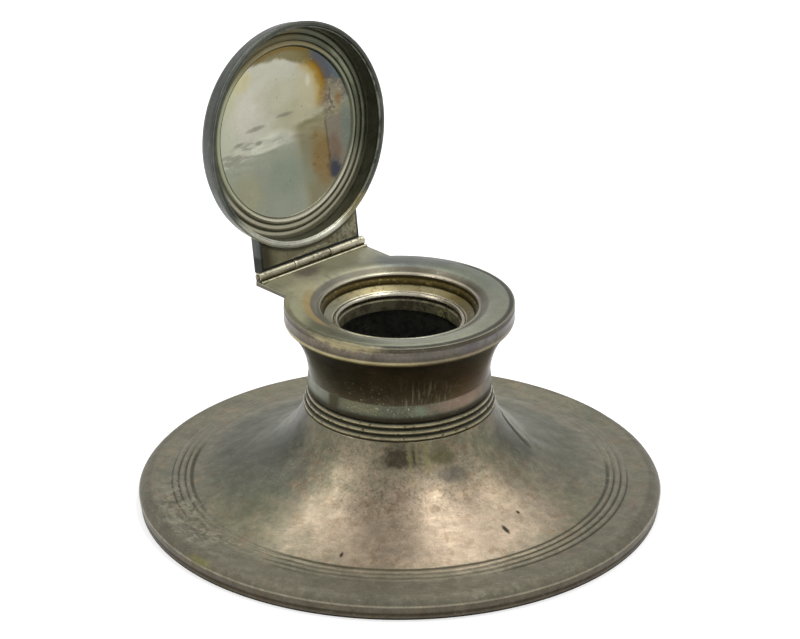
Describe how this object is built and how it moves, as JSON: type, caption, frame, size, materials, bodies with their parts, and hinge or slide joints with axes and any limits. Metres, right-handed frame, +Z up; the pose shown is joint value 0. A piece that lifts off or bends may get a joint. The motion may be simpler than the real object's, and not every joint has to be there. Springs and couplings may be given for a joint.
{
  "type": "hinged-lid inkwell",
  "caption": "Low desk inkwell with a broad spreading foot, reeded waist, flared neck, deep well below a rolled lip, and a shallow domed lid hinged at the back.",
  "frame": {"origin": "middle of the underside, on the surface it stands on", "axes": "+Z up, +Y towards the hinge at the back, +X to the right seen from the front; the hinge pin lies along X"},
  "size_m": [0.1316, 0.1316, 0.1156],
  "materials": {
    "silver_foot": "old silver, dulled, with olive tarnish",
    "silver_dark": "old silver under dark brown tarnish",
    "silver_collar": "old silver, grey-green tarnish, worn bright on the edges",
    "silver_lid": "old silver, worn bright, with brown and grey tarnish in the grooves",
    "ink_stained": "metal blackened by dried ink",
    "pitch": "poured weight, hidden",
    "wood": "plain turned dark wood"
  },
  "bodies": {
    "body": {"foot_shell": "silver_foot", "base_board": "wood", "loading": "pitch", "waist_reeding": "silver_foot", "neck_drum": "silver_dark", "collar_band": "silver_collar", "mouth_plate": "silver_collar", "mouth_cove": "silver_collar", "throat_ring": "silver_dark", "well_cup": "ink_stained", "hinge_bearer": "silver_collar", "hinge_pin": "silver_dark", "hinge_knuckle_left": "silver_collar", "hinge_knuckle_right": "silver_collar"},
    "lid": {"lid_rim": "silver_lid", "lid_skirt": "silver_lid", "lid_lug_plate": "silver_dark", "lid_dome": "silver_lid", "lid_knuckle": "silver_collar"}
  },
  "joints": [
    {"name": "lid_hinge", "type": "hinge", "parent": "body", "child": "lid", "pos_m": [0, 0.0326, 0.0547], "axis": [1, 0, 0], "range_deg": [0, 97.3]}
  ]
}
